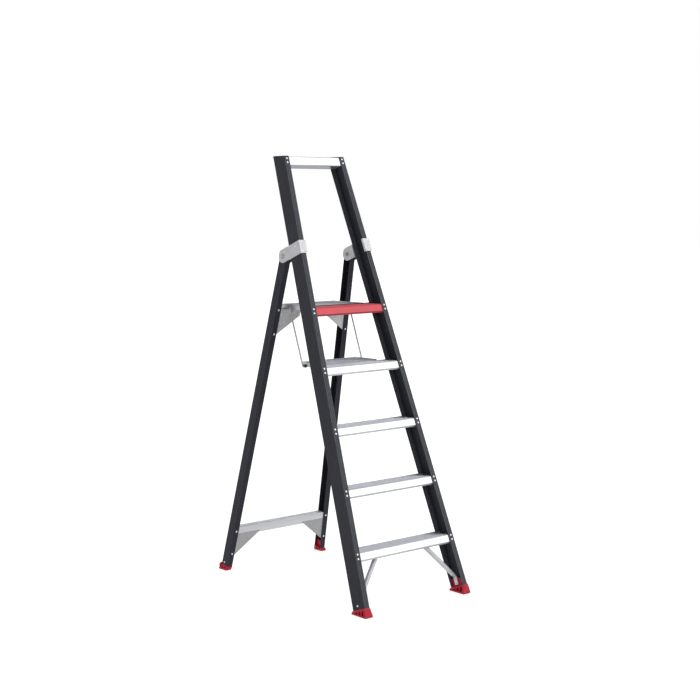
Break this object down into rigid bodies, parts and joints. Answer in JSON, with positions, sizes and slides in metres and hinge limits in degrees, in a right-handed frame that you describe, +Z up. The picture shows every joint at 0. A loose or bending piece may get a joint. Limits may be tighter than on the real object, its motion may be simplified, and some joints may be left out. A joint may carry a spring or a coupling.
{
  "type": "step ladder",
  "caption": "Folding step ladder: front frame of leaning channel stiles with ribbed treads, hinged rear frame, and an upper platform and lower deck joined by link rods.",
  "frame": {"origin": "on the ground under the middle of the opened ladder's footprint", "axes": "+Z up, +Y from the treads towards the rear frame, +X towards the climber's right"},
  "size_m": [0.563, 1.0182, 1.8],
  "materials": {
    "anthracite_coat": "satin dark powder coat over aluminium",
    "aluminium": "satin mill finish",
    "plate": "flat sheet, satin",
    "red_coat": "satin red powder coat over aluminium",
    "red_plastic": "moulded, fine texture",
    "black_plastic": "moulded, fine texture",
    "steel": "bright zinc plated"
  },
  "bodies": {
    "front_frame": {"front_stile_left": "anthracite_coat", "front_stile_right": "anthracite_coat", "stile_cap_left": "black_plastic", "stile_cap_right": "black_plastic", "hinge_strap_left": "plate", "hinge_strap_right": "plate", "hinge_plate_left": "plate", "hinge_plate_right": "plate", "pivot_bolt_left": "steel", "pivot_bolt_right": "steel", "pivot_nut_left": "steel", "pivot_nut_right": "steel", "front_foot_left": "red_plastic", "front_foot_right": "red_plastic", "strut_left": "aluminium", "strut_right": "aluminium", "platform_lug_left": "plate", "platform_lug_right": "plate", "deck_lug_left": "plate", "deck_lug_right": "plate", "platform_pin_left": "steel", "platform_pin_right": "steel", "deck_pin_left": "steel", "deck_pin_right": "steel", "top_rail": "aluminium", "tread_1": "aluminium", "tread_2": "aluminium", "tread_3": "aluminium", "tread_4": "aluminium", "platform_rail": "red_coat"},
    "rear_frame": {"rear_leg_left": "anthracite_coat", "rear_leg_right": "anthracite_coat", "pivot_bush_left": "black_plastic", "pivot_bush_right": "black_plastic", "rear_foot_left": "red_plastic", "rear_foot_right": "red_plastic", "lower_gusset_left": "plate", "lower_gusset_right": "plate", "upper_gusset_left": "plate", "upper_gusset_right": "plate", "lower_brace": "aluminium", "upper_brace": "aluminium"},
    "platform": {"platform_plank_front": "aluminium", "platform_plank_rear": "aluminium", "platform_arm_left": "aluminium", "platform_arm_right": "aluminium", "platform_cap_left": "black_plastic", "platform_cap_right": "black_plastic"},
    "deck": {"deck_plank_front": "aluminium", "deck_plank_rear": "aluminium", "deck_arm_left": "aluminium", "deck_arm_right": "aluminium", "deck_cap_left": "black_plastic", "deck_cap_right": "black_plastic", "rod_clip_left": "black_plastic", "rod_clip_right": "black_plastic"},
    "rod_left": {"link_rod_left": "steel"},
    "rod_right": {"link_rod_right": "steel"}
  },
  "joints": [
    {"name": "fold", "type": "hinge", "parent": "front_frame", "child": "rear_frame", "pos_m": [0, 0.121, 1.3839], "axis": [-1, 0, 0], "range_deg": [0, 34.3]},
    {"name": "platform", "type": "hinge", "parent": "front_frame", "child": "platform", "pos_m": [0, 0.01256, 1.164], "axis": [1, 0, 0], "range_deg": [0, 70]},
    {"name": "deck", "type": "hinge", "parent": "front_frame", "child": "deck", "pos_m": [0, -0.07297, 0.929], "axis": [1, 0, 0], "range_deg": [0, 70]},
    {"name": "rod_left", "type": "hinge", "parent": "platform", "child": "rod_left", "pos_m": [-0.1445, 0.11636, 1.164], "axis": [-1, 0, 0], "range_deg": [0, 70]},
    {"name": "rod_right", "type": "hinge", "parent": "platform", "child": "rod_right", "pos_m": [0.1445, 0.11636, 1.164], "axis": [-1, 0, 0], "range_deg": [0, 70]}
  ],
  "couplings": [
    {"joint": "platform", "follows": "fold", "ratio": 2.0408},
    {"joint": "deck", "follows": "fold", "ratio": 2.0408},
    {"joint": "rod_left", "follows": "fold", "ratio": 2.0408},
    {"joint": "rod_right", "follows": "fold", "ratio": 2.0408}
  ]
}
